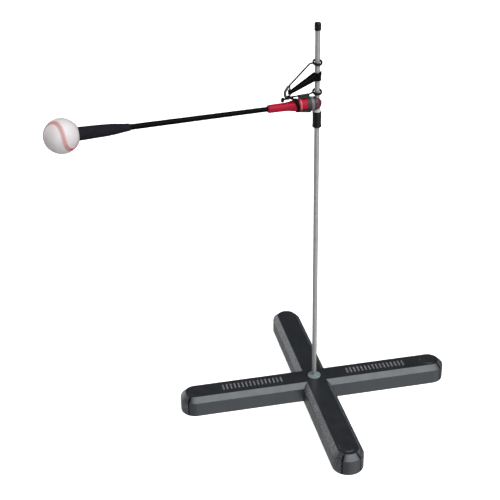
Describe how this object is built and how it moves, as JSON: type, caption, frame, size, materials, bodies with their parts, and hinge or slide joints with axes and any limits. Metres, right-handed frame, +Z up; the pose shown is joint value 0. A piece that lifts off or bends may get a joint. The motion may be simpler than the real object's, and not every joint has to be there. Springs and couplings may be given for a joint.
{
  "type": "batting tee",
  "caption": "Batting tee with a swinging arm: ballasted cross base, steel pole, sliding height sleeve, and a sprung arm that carries a ball.",
  "frame": {"origin": "on the pole's axis, on the floor under the crossed base beams", "axes": "+Z up along the pole, +X along the lower base beam towards one filler cap, -Y along the upper base beam towards the other filler cap"},
  "size_m": [0.9052, 0.646, 0.9185],
  "materials": {
    "ball_core": "wound cork and wool core",
    "ball_leather": "white leather with red stitching",
    "base_plastic": "dark charcoal moulded plastic, satin",
    "black_rubber": "black rubber, soft sheen",
    "cap_plastic": "charcoal moulded plastic, satin",
    "end_cap_plastic": "dull maroon moulded plastic, worn satin",
    "foam": "closed-cell black foam, dull",
    "foot_disc": "blue-grey painted disc, semi-matte",
    "grip_vinyl": "grey vinyl tubing, satin",
    "hub_plastic": "dark grey-green moulded plastic",
    "hub_ring": "light grey moulded ring",
    "pad_rubber": "dark grey rubber, dull",
    "pin_steel": "plain steel",
    "pink_plastic": "pale pink-red moulded ring",
    "pole_steel": "galvanised steel tube, dull",
    "red_plastic": "crimson moulded plastic, satin gloss",
    "rod_fibreglass": "black-brown fibreglass rod, fine lengthwise grain",
    "sand": "ballast sand, loose fill",
    "seal_rubber": "black rubber, dull",
    "socket_metal": "turned steel, plain",
    "strap_rubber": "black elastic rubber, dull",
    "strut_plastic": "black moulded nylon, satin",
    "white_nylon": "natural white nylon",
    "wire_steel": "dark spring steel wire, oiled"
  },
  "bodies": {
    "stand": {"base_beam_lower": "base_plastic", "base_beam_upper": "base_plastic", "ballast_lower": "sand", "ballast_upper": "sand", "pole_socket": "socket_metal", "foot_disc": "foot_disc", "pole": "pole_steel", "pole_cap": "black_rubber"},
    "filler_cap_right": {"filler_cap_right": "cap_plastic", "filler_seal_right": "seal_rubber"},
    "filler_cap_front": {"filler_cap_front": "cap_plastic", "filler_seal_front": "seal_rubber"},
    "carriage": {"height_sleeve": "black_rubber", "slip_washer": "white_nylon"},
    "head": {"swivel_core": "white_nylon", "trunnion_pins": "pin_steel", "wire_bracket": "wire_steel", "nose_grip": "grip_vinyl", "wire_tube": "pad_rubber", "stop_pad": "pad_rubber", "strut_pin": "pin_steel", "strap_knob": "strap_rubber"},
    "strut": {"lock_strut": "strut_plastic"},
    "arm": {"hub_body": "hub_plastic", "hub_ring": "hub_ring", "hub_end_cap": "end_cap_plastic", "arm_sleeve": "red_plastic", "flange_ring": "pink_plastic", "strap": "strap_rubber", "rod": "rod_fibreglass", "foam_sleeve": "foam", "rod_ferrule": "pin_steel", "ball_core": "ball_core", "ball_cover": "ball_leather"}
  },
  "joints": [
    {"name": "cap_lift_right", "type": "slide", "parent": "stand", "child": "filler_cap_right", "axis": [0, 0, 1], "range_m": [0, 0.03]},
    {"name": "cap_lift_front", "type": "slide", "parent": "stand", "child": "filler_cap_front", "axis": [0, 0, 1], "range_m": [0, 0.03]},
    {"name": "height_slide", "type": "slide", "parent": "stand", "child": "carriage", "axis": [0, 0, 1], "range_m": [-0.55, 0.05]},
    {"name": "head_spin", "type": "hinge", "parent": "carriage", "child": "head", "pos_m": [0, 0, 0.7455], "axis": [0, 0, 1], "continuous": true},
    {"name": "strut_swing", "type": "hinge", "parent": "head", "child": "strut", "pos_m": [-0.06095, -0.00651, 0.77675], "axis": [0, 0, -1], "range_deg": [0, 90]},
    {"name": "arm_flex", "type": "hinge", "parent": "head", "child": "arm", "pos_m": [0, 0, 0.7455], "axis": [-0.1063, 0.9943, 0], "range_deg": [-8, 0], "stiffness_Nm_per_rad": 8, "springref_deg": 14.9, "deforming": ["strap"]}
  ]
}
